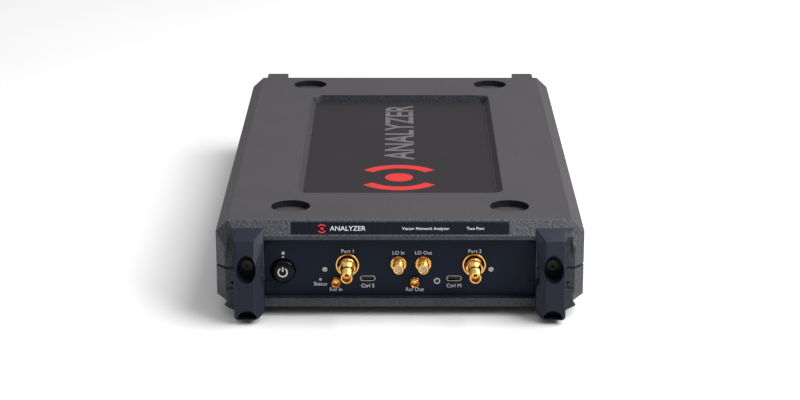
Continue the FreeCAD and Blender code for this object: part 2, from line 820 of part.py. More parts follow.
def build_power_button():
    """Domed push button with a skirt, and the switch that it presses."""
    x = dim.button_x
    z = dim.button_level
    radius = dim.button_radius
    cap = turned([
        (0.0, -2.0), (radius - 1.6, -2.0), (radius - 1.6, -4.0), (radius, -4.0), (radius, 1.6),
        (radius - 0.5, 2.5), (radius - 1.6, 3.1), (0.0, 3.5),
    ], x, panel_y, z)
    node("power_button", cap)
    gap = dim.button_travel + 0.4
    housing = box((x - 4, x + 4), (panel_y + 7, panel_y + 12), (z - 4, z + 4))
    plunger = rod("Y", 1.6, 5 - gap, x, panel_y + 2 + gap, z)
    node("power_switch", fused(housing, plunger))


# ---------------------------------------------------------------- rear panel, fan and rear sockets

REAR_USB_X = 30.0
DC_X = 62.0
TRIGGER_XS = (-6.0, 10.0)
STUD_PLACE = (48.0, 18.0)
REAR_SOCKET_LEVEL = 30.0
FAN_BORE = 18.6
FAN_SCREW_REACH = 16.0
SLOT_PITCH = 4.0
SLOT_HALF = 1.2


def fan_corners():
    for side in (-1, 1):
        for end in (-1, 1):
            yield dim.fan_x + FAN_SCREW_REACH * side, dim.fan_level + FAN_SCREW_REACH * end


def build_rear_panel():
    rear_plane = dim.tail_line - 0.9
    start = rear_plane - dim.panel_thick
    plate = box((-dim.panel_half, dim.panel_half), (start, rear_plane), (7.0, 52.0))
    deep = dim.panel_thick + 2
    holes = []
    # Fan grille: upright slots, each as long as the bore is high at that place.
    for index in range(-4, 5):
        across = index * SLOT_PITCH
        reach = math.sqrt((FAN_BORE - 1.5) ** 2 - across ** 2)
        sides = (dim.fan_x + across - SLOT_HALF, dim.fan_x + across + SLOT_HALF)
        holes.append(box(sides, (start - 1, start - 1 + deep), (dim.fan_level - reach, dim.fan_level + reach)))
    for x, z in fan_corners():
        holes.append(rod("Y", SCREW_RADIUS, deep, x, start - 1, z))
    holes.append(usb_outline(0.1, deep, REAR_USB_X, start - 1, REAR_SOCKET_LEVEL))
    holes.append(rod("Y", 5.5, deep, DC_X, start - 1, REAR_SOCKET_LEVEL))
    for x in TRIGGER_XS:
        holes.append(rod("Y", 3.4, deep, x, start - 1, REAR_SOCKET_LEVEL))
    holes.append(rod("Y", 2.0, deep, STUD_PLACE[0], start - 1, STUD_PLACE[1]))
    node("rear_panel", cut(plate, *holes))
    return rear_plane


def build_rear_sockets(rear_plane):
    level = REAR_SOCKET_LEVEL
    length = 7.3
    start = rear_plane + 0.3 - length
    shell = cut(usb_outline(0.0, length, REAR_USB_X, start, level),
                usb_outline(-0.3, length - 0.6, REAR_USB_X, start + 0.6, level))
    tongue = box((REAR_USB_X - 3.3, REAR_USB_X + 3.3), (start + 0.6, start + length - 0.8),
                 (level - 0.35, level + 0.35))
    node("host_usb_socket", grouped([shell, tongue]))

    jack = fused(rod("Y", 5.5, 3.0, DC_X, rear_plane - 3.0, level),
                 rod("Y", 7.0, 1.0, DC_X, rear_plane, level),
                 box((DC_X - 6, DC_X + 6), (rear_plane - 14, rear_plane - 3), (level - 6, level + 6)))
    hollow = cut(jack, rod("Y", 3.2, 11.0, DC_X, rear_plane - 9, level))
    node("power_inlet", fused(hollow, rod("Y", 1.0, 9.0, DC_X, rear_plane - 9, level)))

    jacks = []
    for x in TRIGGER_XS:
        barrel = rod("Y", 3.175, 18, x, rear_plane - 12, level)
        nut = hexagon("Y", 8.0, 2.2, x, rear_plane, level)
        bore = rod("Y", 2.05, 6, x, rear_plane + 1, level)
        contact = rod("Y", 0.6, 5, x, rear_plane + 1, level)
        jacks.append(fused(cut(fused(barrel, nut), bore), contact))
    node("trigger_jacks", grouped(jacks))

    x, z = STUD_PLACE
    stud = fused(rod("Y", 2.0, 10, x, rear_plane - 6, z), hexagon("Y", 7.0, 2.0, x, rear_plane, z))
    node("ground_stud", stud)


def build_fan():
    """Square cooling fan: frame with a motor spider, and a seven-blade rotor on a centre pin."""
    x = dim.fan_x
    z = dim.fan_level
    half = dim.fan_half
    front = dim.fan_front
    rear = dim.fan_front + dim.fan_thick
    frame = cut(box((x - half, x + half), (front, rear), (z - half, z + half)),
                rod("Y", FAN_BORE, dim.fan_thick, x, front, z))
    corner_holes = []
    for corner_x, corner_z in fan_corners():
        corner_holes.append(rod("Y", SCREW_RADIUS, dim.fan_thick, corner_x, front, corner_z))
    arms = [box((x - half + 0.5, x + half - 0.5), (front, front + 2), (z - 1, z + 1)),
            box((x - 1, x + 1), (front, front + 2), (z - half + 0.5, z + half - 0.5)),
            rod("Y", 8.0, 4.0, x, front, z)]
    axle = rod("Y", 1.0, 9.0, x, front, z)
    node("fan_frame", cut(fused(cut(frame, *corner_holes), *arms, axle), *corner_holes))

    hub_start = front + 4.6
    hub = cut(rod("Y", 8.5, 8.6, x, hub_start, z), rod("Y", 1.05, 5.0, x, hub_start, z))
    blades = []
    for index in range(7):
        angle = index * 360.0 / 7
        blade = doc.addObject("Part::Box", "blade")
        bind(blade, Length=9.6, Width=7.6, Height=0.9)
        pitch = Rotation(Vector(1, 0, 0), 38)
        spin = Rotation(Vector(0, 1, 0), angle)
        outward = spin.multVec(Vector(7.6, 0, 0))
        lift = spin.multVec(pitch.multVec(Vector(0, 3.8, 0.45)))
        place(blade, x + (outward.x - lift.x), hub_start + 4.3 - lift.y, z + (outward.z - lift.z), spin * pitch)
        blades.append(blade)
    node("fan_rotor", fused(hub, *blades))

    screws = []
    for corner_x, corner_z in fan_corners():
        screws.append(fused(rod("Y", SCREW_RADIUS, 15, corner_x, rear - 11, corner_z),
                            rod("Y", 2.6, 1.4, corner_x, dim.tail_line - 0.9, corner_z)))
    node("fan_screws", grouped(screws))


# ---------------------------------------------------------------- inside

STANDOFF_PLACES = [(x, y) for x in (-72.0, 72.0) for y in (-140.0, -20.0, 110.0)]
STANDOFF_BORE = 1.25
TRAY_HALF = 78.0
TRAY_ENDS = (-152.0, 150.0)
TRAY_SHEET = 1.2
TRAY_WALL = 8.0


def build_chassis():
    """Bent tray on the floor of the bottom cover, with the pillars that carry the board."""
    low = dim.tray_level
    floor = box((-TRAY_HALF, TRAY_HALF), TRAY_ENDS, (low, low + TRAY_SHEET))
    wall = box((TRAY_HALF - TRAY_SHEET, TRAY_HALF), TRAY_ENDS, (low, low + TRAY_WALL))
    node("chassis_tray", fused(floor, wall, mirrored(wall)))
    pillars = []
    screws = []
    holes = []
    for x, y in STANDOFF_PLACES:
        start = low + TRAY_SHEET
        pillars.append(tube("Z", 3.0, STANDOFF_BORE, dim.board_level - start, x, y, start))
        screws.append(fused(rod("Z", 2.6, HEAD_THICK, x, y, dim.board_level + dim.board_thick),
                            rod("Z", STANDOFF_BORE, 6, x, y, dim.board_level - 4)))
        holes.append(rod("Z", STANDOFF_BORE, 4, x, y, dim.board_level - 1))
    node("board_pillars", grouped(pillars))
    node("board_screws", grouped(screws))
    board = box((-76, 76), (-150, 148), (dim.board_level, dim.board_level + dim.board_thick))
    node("main_board", cut(board, *holes))


SINK_SIDES = (-35.0, 20.0)
SINK_ENDS = (30.0, 110.0)
FIN_COUNT = 10
FIN_PITCH = 5.9
FIN_THICK = 1.9


def build_modules():
    """Milled screening cans and the parts that stand on the main board."""
    base = dim.board_level + dim.board_thick
    start = panel_y + 14

    def can(label, left, right, front, rear, high, lid=1.2):
        shell = box((left, right), (front, rear), (base, base + high))
        rim = box((left + 1.5, right - 1.5), (front + 1.5, rear - 1.5), (base + high, base + high + lid))
        return node(label, fused(shell, rim))

    can("receiver_1", dim.port_one_x - 13, dim.port_one_x + 13, start, -70, 24)
    can("receiver_2", dim.port_two_x - 13, dim.port_two_x + 13, start, -70, 24)
    can("lo_divider", dim.lo_in_x - 8, dim.lo_out_x + 8, start, -95, 22)
    can("source_module", -50, 20, -55, 15, 20)
    can("digitizer", 30, 68, -55, 15, 14)
    can("reference_oscillator", -70, -45, 30, 55, 12)
    can("power_converter", 30, 68, 60, 130, 16)

    fins = [box(SINK_SIDES, SINK_ENDS, (base, base + 4))]
    for index in range(FIN_COUNT):
        left = SINK_SIDES[0] + index * FIN_PITCH
        fins.append(box((left, left + FIN_THICK), SINK_ENDS, (base + 3, base + 24)))
    node("heat_sink", fused(*fins))

    leads = []
    for port_x, end_x in ((dim.port_one_x, -40), (dim.port_two_x, 10)):
        leads.append(coax_lead(value_of(port_x), end_x, value_of(base) + 12))
    node("coax_leads", grouped(leads))


def coax_lead(start_x, end_x, level):
    """Semi-rigid lead from a receiver can back to the source can, with two equal bends."""
    begin = -70.0
    end = -55.0
    shift = end_x - start_x
    bend = 3.2
    side = 1 if shift > 0 else -1
    middle = (begin + end) / 2
    corner = bend * (1 - math.sqrt(0.5))
    first = [Vector(start_x, begin, level), Vector(start_x, middle - bend, level)]
    turn_in = Vector(start_x + side * corner, middle - corner, level)
    across = [Vector(start_x + side * bend, middle, level), Vector(end_x - side * bend, middle, level)]
    turn_out = Vector(end_x - side * corner, middle + corner, level)
    last = [Vector(end_x, middle + bend, level), Vector(end_x, end, level)]
    path = Part.Wire([
        Part.LineSegment(first[0], first[1]).toShape(),
        Part.Arc(first[1], turn_in, across[0]).toShape(),
        Part.LineSegment(across[0], across[1]).toShape(),
        Part.Arc(across[1], turn_out, last[0]).toShape(),
        Part.LineSegment(last[0], last[1]).toShape(),
    ])
    section = Part.Wire(Part.makeCircle(1.1, first[0], Vector(0, 1, 0)))
    item = doc.addObject("Part::Feature", "lead")
    item.Shape = path.makePipeShell([section], True, False)
    return item


# ---------------------------------------------------------------- run

def check_document():
    """Stop with a plain message if any object failed or any piece is not a valid solid."""
    problems = []
    for item in doc.Objects:
        if "Invalid" in item.State or "Error" in item.State:
            problems.append("%s (%s) is %s" % (item.Name, item.Label, item.State))
    for item in nodes:
        if item.Shape.isNull() or not item.Shape.isValid() or not item.Shape.Solids:
            problems.append("%s has no valid solid" % item.Label)
    if problems:
        raise SystemExit("\n".join(problems))


def export_nodes():
    os.makedirs("parts", exist_ok=True)
    for item in nodes:
        item.Shape.exportStep(os.path.join("parts", item.Label + ".step"))
    print("%d nodes written" % len(nodes))


build_covers()
build_feet()
build_cover_screws()
build_posts()
build_front_panel()
build_connectors()
build_power_button()
build_rear_sockets(build_rear_panel())
build_fan()
build_chassis()
build_modules()
doc.recompute()
check_document()
export_nodes()
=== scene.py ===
import json
import math

import bmesh
import bpy
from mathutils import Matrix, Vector


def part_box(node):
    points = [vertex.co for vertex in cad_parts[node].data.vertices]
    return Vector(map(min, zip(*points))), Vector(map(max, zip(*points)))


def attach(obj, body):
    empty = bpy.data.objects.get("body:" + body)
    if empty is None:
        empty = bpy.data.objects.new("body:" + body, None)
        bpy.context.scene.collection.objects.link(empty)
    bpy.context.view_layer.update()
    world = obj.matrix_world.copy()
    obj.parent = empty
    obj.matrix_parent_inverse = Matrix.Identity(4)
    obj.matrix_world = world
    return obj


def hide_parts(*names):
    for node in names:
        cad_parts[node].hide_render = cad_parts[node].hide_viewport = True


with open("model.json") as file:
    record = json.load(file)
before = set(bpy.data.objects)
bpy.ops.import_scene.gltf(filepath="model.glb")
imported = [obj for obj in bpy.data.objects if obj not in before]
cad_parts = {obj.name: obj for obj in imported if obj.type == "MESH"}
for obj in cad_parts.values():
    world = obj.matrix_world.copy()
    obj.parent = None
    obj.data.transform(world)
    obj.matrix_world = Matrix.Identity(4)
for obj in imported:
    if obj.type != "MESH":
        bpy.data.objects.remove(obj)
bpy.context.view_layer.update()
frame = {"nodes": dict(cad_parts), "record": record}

MM = 0.001
CHASSIS = "chassis"
BUTTON = "power_button"


# ---------------------------------------------------------------- places read from the frame

def low_corner(node):
    return Vector(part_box(node)[0])


def high_corner(node):
    return Vector(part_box(node)[1])


def centre(node):
    return (low_corner(node) + high_corner(node)) / 2


PANEL_Y = low_corner("front_panel").y
TOP_Z = high_corner("top_cover").z


def on_panel(node):
    """Centre of a panel item, moved to the face of the front panel."""
    place = centre(node)
    place.y = PANEL_Y
    return place


# ---------------------------------------------------------------- materials

NOISE_LOW = 0.3
NOISE_HIGH = 0.7


def add(tree, kind, **settings):
    """New shader node with its settings."""
    node = tree.nodes.new(kind)
    for name, value in settings.items():
        setattr(node, name, value)
    return node


def new_material(name, **constants):
    """Principled material; constants are set straight on its sockets."""
    made = bpy.data.materials.new(name)
    made.use_nodes = True
    shader = made.node_tree.nodes["Principled BSDF"]
    for socket, value in constants.items():
        shader.inputs[socket.replace("_", " ")].default_value = value
    return made, made.node_tree, shader


def noise(tree, scale, detail=2.0, rough=0.5):
    """Noise over the object's own coordinates; scale is in cycles per metre."""
    place = add(tree, "ShaderNodeTexCoord")
    texture = add(tree, "ShaderNodeTexNoise")
    texture.inputs["Scale"].default_value = scale
    texture.inputs["Detail"].default_value = detail
    texture.inputs["Roughness"].default_value = rough
    tree.links.new(place.outputs["Object"], texture.inputs["Vector"])
    return texture.outputs["Fac"]


def cells(tree, scale):
    """Smooth cell pattern, for moulded grain."""
    place = add(tree, "ShaderNodeTexCoord")
    texture = add(tree, "ShaderNodeTexVoronoi", feature="SMOOTH_F1")
    texture.inputs["Scale"].default_value = scale
    tree.links.new(place.outputs["Object"], texture.inputs["Vector"])
    return texture.outputs["Distance"]


def ramp(tree, source, stops):
    """Colour ramp; stops are (place, colour) pairs."""
    made = add(tree, "ShaderNodeValToRGB")
    band = made.color_ramp
    while len(band.elements) < len(stops):
        band.elements.new(0.5)
    for element, (place, colour) in zip(band.elements, stops):
        element.position = place
        element.color = (*colour, 1.0)
    tree.links.new(source, made.inputs["Fac"])
    return made.outputs["Color"]


def mapped(tree, source, low, high):
    """Stretch the middle of a noise's range to low..high."""
    made = add(tree, "ShaderNodeMapRange")
    made.inputs["From Min"].default_value = NOISE_LOW
    made.inputs["From Max"].default_value = NOISE_HIGH
    made.inputs["To Min"].default_value = low
    made.inputs["To Max"].default_value = high
    tree.links.new(source, made.inputs["Value"])
    return made.outputs["Result"]


def bump(tree, shader, source, distance, below=None):
    """Bump of a given height in metres, laid over an earlier one if given."""
    made = add(tree, "ShaderNodeBump")
    made.inputs["Distance"].default_value = distance
    tree.links.new(source, made.inputs["Height"])
    if below is not None:
        tree.links.new(below, made.inputs["Normal"])
    tree.links.new(made.outputs["Normal"], shader.inputs["Normal"])
    return made.outputs["Normal"]


def shade(colour, factor):
    """The colour made lighter or darker."""
    return tuple(channel * factor for channel in colour)


def moulded_plastic(name, colour, grain, height, rough=(0.45, 0.62), speck=0.35, specular=0.4):
    """Spark-eroded plastic: fine speckle in colour, gloss and height over slow mottling."""
    made, tree, shader = new_material(name, Specular_IOR_Level=specular)
    fine = noise(tree, grain, detail=3.0, rough=0.65)
    slow = noise(tree, 24.0, detail=2.0)
    speckled = ramp(tree, fine, [
        (0.30, shade(colour, 1.0 - speck)), (0.52, colour), (0.74, shade(colour, 1.0 + speck)),
    ])
    mottle = ramp(tree, slow, [(0.3, (0.94, 0.94, 0.95)), (0.7, (1.04, 1.03, 1.03))])
    blend = add(tree, "ShaderNodeMix", data_type="RGBA", blend_type="MULTIPLY")
    blend.inputs["Factor"].default_value = 1.0
    tree.links.new(speckled, blend.inputs["A"])
    tree.links.new(mottle, blend.inputs["B"])
    tree.links.new(blend.outputs["Result"], shader.inputs["Base Color"])
    tree.links.new(mapped(tree, fine, rough[0], rough[1]), shader.inputs["Roughness"])
    first = bump(tree, shader, fine, height)
    bump(tree, shader, cells(tree, grain * 0.5), height * 0.6, below=first)
    return made


def satin(name, colour, rough=0.42, grain=900.0, height=0.00001, specular=0.5):
    """Smooth painted or moulded surface with faint handling marks in its gloss."""
    made, tree, shader = new_material(name, Specular_IOR_Level=specular)
    cloud = noise(tree, 55.0, detail=4.0)
    fine = noise(tree, grain, detail=2.0)
    tint = ramp(tree, cloud, [(0.3, shade(colour, 0.92)), (0.7, shade(colour, 1.08))])
    tree.links.new(tint, shader.inputs["Base Color"])
    tree.links.new(mapped(tree, cloud, rough - 0.05, rough + 0.06), shader.inputs["Roughness"])
    bump(tree, shader, fine, height)
    return made


def plated_metal(name, colour, rough=0.18, turning=6000.0, height=0.000004):
    """Plated or machined metal: fine turning marks, cloudy gloss and a darker tint in random clouds."""
    made, tree, shader = new_material(name, Metallic=1.0)
    cloud = noise(tree, 420.0, detail=3.0)
    tint = ramp(tree, cloud, [(0.3, shade(colour, 0.82)), (0.7, colour)])
    tree.links.new(tint, shader.inputs["Base Color"])
    tree.links.new(mapped(tree, cloud, rough - 0.05, rough + 0.10), shader.inputs["Roughness"])
    bump(tree, shader, noise(tree, turning, detail=1.0), height)
    return made


def ink(name, colour, rough=0.5):
    """Screen print: slightly uneven cover and a dry surface."""
    made, tree, shader = new_material(name, Specular_IOR_Level=0.3)
    patch = noise(tree, 1500.0, detail=2.0)
    cover = ramp(tree, patch, [(0.25, shade(colour, 0.85)), (0.6, colour)])
    tree.links.new(cover, shader.inputs["Base Color"])
    tree.links.new(mapped(tree, patch, rough - 0.05, rough + 0.08), shader.inputs["Roughness"])
    return made


def circuit_board(name):
    """Green solder mask over faint copper pours."""
    made, tree, shader = new_material(name, Coat_Weight=0.4)
    pours = cells(tree, 140.0)
    colour = ramp(tree, pours, [(0.25, (0.010, 0.075, 0.035)), (0.45, (0.014, 0.105, 0.05))])
    tree.links.new(colour, shader.inputs["Base Color"])
    tree.links.new(mapped(tree, pours, 0.3, 0.45), shader.inputs["Roughness"])
    bump(tree, shader, pours, 0.00003)
    return made


FINISHES = {
    # material: maker, colour, settings
    "cover_plastic": (moulded_plastic, (0.047, 0.044, 0.047),
                      dict(grain=1500.0, height=0.00008, specular=0.25)),
    "bezel_plastic": (moulded_plastic, (0.0195, 0.0220, 0.0300),
                      dict(grain=950.0, height=0.00060, rough=(0.30, 0.50), speck=0.95, specular=0.5)),
    # darker copy of the grained bezel finish: painted shade on the recess walls that face the front
    "recess_plastic": (moulded_plastic, (0.0115, 0.0130, 0.0190),
                       dict(grain=950.0, height=0.00035, rough=(0.30, 0.50), speck=0.9, specular=0.2)),
    "post_elastomer": (satin, (0.0105, 0.0132, 0.0240), dict(rough=0.42, specular=0.16)),
    "foot_rubber": (satin, (0.012, 0.012, 0.013), dict(rough=0.75, grain=1600.0, height=0.00004)),
    "label_sheet": (moulded_plastic, (0.0185, 0.0155, 0.0180),
                    dict(grain=2600.0, height=0.00003, rough=(0.5, 0.6), speck=0.2, specular=0.12)),
    "label_strip": (moulded_plastic, (0.0045, 0.0055, 0.0110),
                    dict(grain=1400.0, height=0.00012, rough=(0.4, 0.55), speck=0.6, specular=0.07)),
    "panel_paint": (satin, (0.0060, 0.0095, 0.0200),
                    dict(rough=0.45, grain=2400.0, height=0.00002, specular=0.10)),
    "button_gloss": (satin, (0.002, 0.002, 0.003), dict(rough=0.25, specular=0.14)),
    "light_pipe": (satin, (0.34, 0.35, 0.37), dict(rough=0.3)),
    "gold": (plated_metal, (0.86, 0.50, 0.14), dict()),
    "insulator": (satin, (0.44, 0.34, 0.24), dict(rough=0.45)),
    "socket_steel": (plated_metal, (0.56, 0.52, 0.48), dict(rough=0.25)),
    "dark_insulator": (satin, (0.010, 0.010, 0.011), dict(rough=0.5)),
    "fan_plastic": (satin, (0.010, 0.010, 0.012), dict(rough=0.45)),
    "screw_steel": (plated_metal, (0.36, 0.34, 0.31), dict(rough=0.28)),
    "dark_steel": (plated_metal, (0.030, 0.029, 0.028), dict(rough=0.4)),
    "tray_metal": (plated_metal, (0.60, 0.60, 0.60), dict(rough=0.35, turning=1500.0)),
    "can_metal": (plated_metal, (0.68, 0.68, 0.67), dict(rough=0.32, turning=1800.0)),
    "lead_metal": (plated_metal, (0.70, 0.66, 0.58), dict(rough=0.3)),
}
# how many times paler than its face a rounded edge is: wear plus a painted highlight where the edge
# catches the light
EDGE_WEAR_AND_HIGHLIGHT = {"bezel_plastic": 4.2, "post_elastomer": 2.6, "label_strip": 16.0}
USUAL_WEAR_AND_HIGHLIGHT = 1.35
MATERIALS = {slot: maker(slot, colour, **settings)
             for slot, (maker, colour, settings) in FINISHES.items()}
# paler copy of every finish for rounded edges: wear plus a painted edge highlight
WORN_AND_HIGHLIT_EDGES = {slot: maker(slot + "_edge", shade(colour, EDGE_WEAR_AND_HIGHLIGHT.get(slot, USUAL_WEAR_AND_HIGHLIGHT)), **settings)
              for slot, (maker, colour, settings) in FINISHES.items()}
MATERIALS["board_green"] = circuit_board("board_green")
WHITE_INK = ink("white_ink", (0.62, 0.63, 0.65))
GREY_INK = ink("grey_ink", (0.105, 0.103, 0.106))
RED_INK = ink("red_ink", (0.52, 0.018, 0.013))


def slot_of(node):
    """The record's material slot of a CAD node."""
    for row in frame["record"]["subparts"]:
        if row["node"] == node:
            return row["material_slot"]
    raise KeyError(node)


def dress_frame():
    """Give every carried-over CAD node its finished material."""
    for name, piece in frame["nodes"].items():
        for entry in piece.material_slots:
            entry.material = MATERIALS[slot_of(name)]


# ---------------------------------------------------------------- mesh helpers

def piece_from(name, vertices, faces, slot, body=CHASSIS, angle=35.0):
    """New piece with smooth shading up to an angle, riding on a body."""
    mesh = bpy.data.meshes.new(name)
    mesh.from_pydata(vertices, [], faces)
    mesh.validate()
    return finished(bpy.data.objects.new(name, mesh), slot, body, angle)


def finished(piece, slot, body=CHASSIS, angle=35.0, finish=None):
    """Shade a piece, give it its material and set what it rides on; finish overrides the slot's own."""
    mesh = piece.data
    if piece.name not in bpy.context.scene.objects:
        bpy.context.scene.collection.objects.link(piece)
    mesh.polygons.foreach_set("use_smooth", [True] * len(mesh.polygons))
    mesh.set_sharp_from_angle(angle=math.radians(angle))
    mesh.materials.clear()
    mesh.materials.append(finish or MATERIALS[slot])
    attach(piece, body)
    return piece


def lathe(name, profile, base, slot, body=CHASSIS, segments=96, closed=False, angle=35.0):
    """Solid of revolution along Y.  The profile is (radius, distance out of the panel) in mm."""
    vertices = []
    rings = []
    for radius, out in profile:
        y = base.y - out * MM
        if radius == 0:
            rings.append([len(vertices)])
            vertices.append((base.x, y, base.z))
            continue
        ring = []
        for index in range(segments):
            turn = 2 * math.pi * index / segments
            ring.append(len(vertices))
            vertices.append((base.x + radius * MM * math.cos(turn), y,
                             base.z + radius * MM * math.sin(turn)))
        rings.append(ring)
    pairs = list(zip(rings, rings[1:]))
    if closed:
        pairs.append((rings[-1], rings[0]))
    faces = []
    for near, far in pairs:
        faces += ring_faces(near, far, segments)
    piece = piece_from(name, vertices, faces, slot, body, angle)
    outward(piece.data)
    return piece


def ring_faces(near, far, segments):
    """Faces between two rings, either of which may be a single pole."""
    faces = []
    for index in range(segments):
        following = (index + 1) % segments
        if len(near) == 1:
            faces.append((near[0], far[index], far[following]))
        elif len(far) == 1:
            faces.append((near[index], near[following], far[0]))
        else:
            faces.append((near[index], near[following], far[following], far[index]))
    return faces


def outward(mesh):
    """Turn every face to look out of the solid."""
    work = bmesh.new()
    work.from_mesh(mesh)
    bmesh.ops.recalc_face_normals(work, faces=work.faces)
    work.to_mesh(mesh)
    work.free()


THREAD_STEPS = 8
CREST_FULLNESS = 1.35
RUNOUT_TURNS = 0.8
THREAD_LEAD = 0.15


def thread_tube(name, base, inner, outer, start, end, slot, pitch, depth, segments=96):
    """Round tube with a helical thread on its outside, run out at both ends; sizes in mm."""
    count = int(round((end - start) / pitch * THREAD_STEPS))
    vertices = []
    rings = []

    def ring(radius_at, out):
        made = []
        for index in range(segments):
            turn = index / segments
            radius = radius_at(turn, out) * MM
            made.append(len(vertices))
            vertices.append((base.x + radius * math.cos(2 * math.pi * turn), base.y - out * MM,
                             base.z + radius * math.sin(2 * math.pi * turn)))
        rings.append(made)

    def crest(turn, out):
        phase = (out / pitch + turn) % 1.0
        tooth = 1.0 - abs(2.0 * phase - 1.0)
        tooth = min(1.0, tooth * CREST_FULLNESS)
        runout = min(1.0, min(out - start, end - out) / (pitch * RUNOUT_TURNS))
        return outer - depth * (1.0 - tooth * max(0.0, runout))

    for index in range(count + 1):
        ring(crest, start + (end - start) * index / count)
    ring(lambda turn, out: inner + THREAD_LEAD, end)
    ring(lambda turn, out: inner, end - THREAD_LEAD)
    ring(lambda turn, out: inner, start)
    faces = []
    for near, far in zip(rings, rings[1:] + rings[:1]):
        faces += ring_faces(near, far, segments)
    piece = piece_from(name, vertices, faces, slot, angle=50.0)
    outward(piece.data)
    return piece


MERGE_DISTANCE = 2e-6
FLAT_ANGLE = 0.6


def softened(node, width, segments=2, angle=24.0):
    """Copy of a CAD node with its flat faces merged and every sharp edge rounded and given a paler
    finish: wear plus a painted edge highlight.
    """
    source = frame["nodes"][node]
    mesh = bpy.data.meshes.new(node + "_soft")
    work = bmesh.new()
    work.from_mesh(source.data)
    bmesh.ops.remove_doubles(work, verts=work.verts, dist=MERGE_DISTANCE)
    bmesh.ops.dissolve_limit(work, angle_limit=math.radians(FLAT_ANGLE), verts=work.verts,
                             edges=work.edges)
    sharp = [edge for edge in work.edges
             if len(edge.link_faces) == 2 and edge.calc_face_angle(0.0) > math.radians(angle)]
    bmesh.ops.bevel(work, geom=sharp, offset=width * MM, offset_type="OFFSET", segments=segments,
                    profile=0.5, affect="EDGES", clamp_overlap=True, material=1,
                    face_strength_mode="ALL")
    bmesh.ops.triangulate(work, faces=[face for face in work.faces if len(face.verts) > 4])
    bmesh.ops.recalc_face_normals(work, faces=work.faces)
    work.to_mesh(mesh)
    work.free()
    piece = bpy.data.objects.new(node + "_soft", mesh)
    piece.matrix_world = source.matrix_world.copy()
    bodies = frame["record"]["behaviour"]["bodies"]
    body = next(name for name, members in bodies.items() if node in members)
    edges = [face.index for face in mesh.polygons if face.material_index == 1]
    finished(piece, slot_of(node), body, angle=40.0)
    # rounded edges take the paler copy: wear plus painted edge highlight
    mesh.materials.append(WORN_AND_HIGHLIT_EDGES[slot_of(node)])
    for index in edges:
        mesh.polygons[index].material_index = 1
    normals = piece.modifiers.new("face_weighted", "WEIGHTED_NORMAL")
    normals.keep_sharp = True
    normals.use_face_influence = True
    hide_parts(node)
    return piece


def repainted(piece, slot, chosen):
    """Give another finish to the faces that are chosen by their centre and direction."""
    mesh = piece.data
    first = len(mesh.materials)
    mesh.materials.append(MATERIALS[slot])
    # paler edge copy: wear plus painted edge highlight
    mesh.materials.append(WORN_AND_HIGHLIT_EDGES[slot])
    for face in mesh.polygons:
        if chosen(face.center, face.normal):
            face.material_index += first


# ---------------------------------------------------------------- printing

PRINT_RAISE = 0.02
PRINT_GAP = 0.03


def printed(name, words, size, place, slot, finish, turn=(90, 0, 0), bold=0.0):
    """Lettering as a thin raised print; place is its middle in metres, turn in degrees."""
    curve = bpy.data.curves.new(name, "FONT")
    curve.body = words
    curve.size = size * MM
    curve.align_x = "CENTER"
    curve.align_y = "CENTER"
    curve.extrude = PRINT_RAISE * MM
    curve.offset = bold * MM
    curve.resolution_u = 3
    drawn = bpy.data.objects.new(name, curve)
    bpy.context.scene.collection.objects.link(drawn)
    bpy.context.view_layer.update()
    mesh = bpy.data.meshes.new_from_object(drawn)
    bpy.data.objects.remove(drawn)
    piece = bpy.data.objects.new(name, mesh)
    piece.rotation_euler = [math.radians(value) for value in turn]
    piece.location = place
    bpy.context.scene.collection.objects.link(piece)
    bpy.context.view_layer.update()
    return finished(piece, slot, finish=finish)


PANEL_WORDS = (
    # words, node it belongs to, millimetres right and up from the node's centre, letter height
    ("Port 1", "port_1_flange", 0.3, 8.4, 3.1),
    ("Port 2", "port_2_flange", 0.3, 8.4, 3.1),
    ("LO In", "lo_in_connector", 0.0, 6.8, 3.1),
    ("LO Out", "lo_out_connector", 0.0, 6.8, 3.1),
    ("Ref In", "ref_in_connector", 0.0, -4.9, 3.3),
    ("Ref Out", "ref_out_connector", 0.0, -4.9, 3.3),
    ("Ctrl S", "control_usb_1_shell", 0.0, -4.7, 3.3),
    ("Ctrl M", "control_usb_2_shell", 0.0, -4.7, 3.3),
    ("Status", "light_pipes", 11.0, -11.1, 3.3),
)


def print_panel():
    """Generic connector names beside the front connectors."""
    for words, node, right, up, size in PANEL_WORDS:
        place = on_panel(node) + Vector((right * MM, -PRINT_GAP * MM, up * MM))
        name = "print_" + words.replace(" ", "_").lower()
        printed(name, words, size, place, "panel_paint", WHITE_INK)


def flat_shape(name, outline, place, axes, slot, finish, thick=0.04):
    """Flat printed shape from a closed outline in mm, on a plane given by its two axes."""
    across, up = axes
    out = across.cross(up)
    vertices = []
    for lift in (0.0, thick * MM):
        for right, high in outline:
            vertices.append(place + across * right * MM + up * high * MM + out * lift)
    count = len(outline)
    faces = [tuple(reversed(range(count))), tuple(range(count, 2 * count))]
    for index in range(count):
        following = (index + 1) % count
        faces.append((index, following, following + count, index + count))
    piece = piece_from(name, vertices, faces, slot)
    piece.data.materials.clear()
    piece.data.materials.append(finish)
    return piece


def arc_band(radius, width, start, end, steps=48):
    """Outline of a band along an arc, in degrees."""
    outer = []
    inner = []
    for index in range(steps + 1):
        turn = math.radians(start + (end - start) * index / steps)
        outer.append(((radius + width / 2) * math.cos(turn), (radius + width / 2) * math.sin(turn)))
        inner.append(((radius - width / 2) * math.cos(turn), (radius - width / 2) * math.sin(turn)))
    return outer + inner[::-1]


RIGHT = Vector((1, 0, 0))
UP = Vector((0, 0, 1))
BACK = Vector((0, 1, 0))


# the emblem's parts, as shares of its scale, and its arcs in degrees
DISC_SHARE = 0.30
RING_SHARE = 0.80
BAND_SHARE = 0.26
ARC_STARTS = (35, 215)
ARC_SPAN = 110
DISC_STEPS = 40


